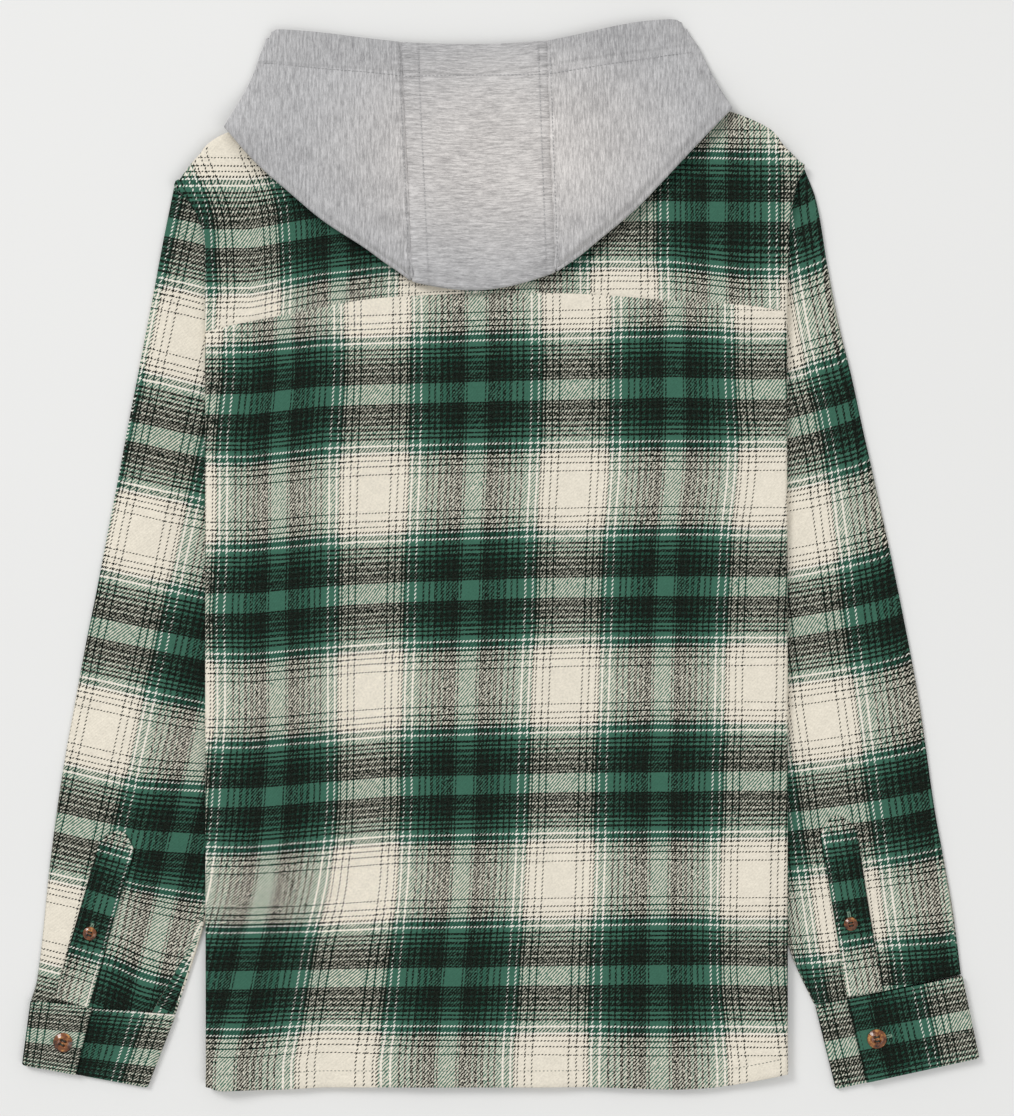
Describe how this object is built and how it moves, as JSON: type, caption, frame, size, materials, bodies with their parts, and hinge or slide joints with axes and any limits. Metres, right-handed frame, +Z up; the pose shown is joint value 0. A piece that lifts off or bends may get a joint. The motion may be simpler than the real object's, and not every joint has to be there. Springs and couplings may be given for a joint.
{
  "type": "hooded flannel shirt",
  "caption": "Long-sleeved check flannel shirt with a heather-grey jersey hood, laid flat on its front with the back and the hood on top.",
  "frame": {"origin": "on the surface that the shirt lies on, under the middle of its length and width", "axes": "+Y from the hem to the hood, along the shirt's length; +X across it towards the right sleeve as seen; +Z up out of the surface"},
  "size_m": [0.6965, 0.777, 0.0138],
  "materials": {
    "flannel": "brushed twill in a green, black and cream ombre check",
    "jersey": "heather-grey sweatshirt jersey",
    "button": "polished mottled brown, four holes"
  },
  "bodies": {
    "root": {"back": "flannel", "yoke": "flannel", "front_left": "flannel", "front_right": "flannel", "front_band": "flannel", "sleeve_left": "flannel", "sleeve_right": "flannel", "sleeve_placket_left": "flannel", "sleeve_placket_right": "flannel", "cuff_left": "flannel", "cuff_right": "flannel", "hood_centre": "jersey", "hood_left": "jersey", "hood_right": "jersey", "front_button_1": "button", "front_button_2": "button", "front_button_3": "button", "front_button_4": "button", "front_button_5": "button", "front_button_6": "button", "front_button_7": "button", "placket_button_left": "button", "placket_button_right": "button", "cuff_button_left": "button", "cuff_button_right": "button"}
  },
  "joints": []
}
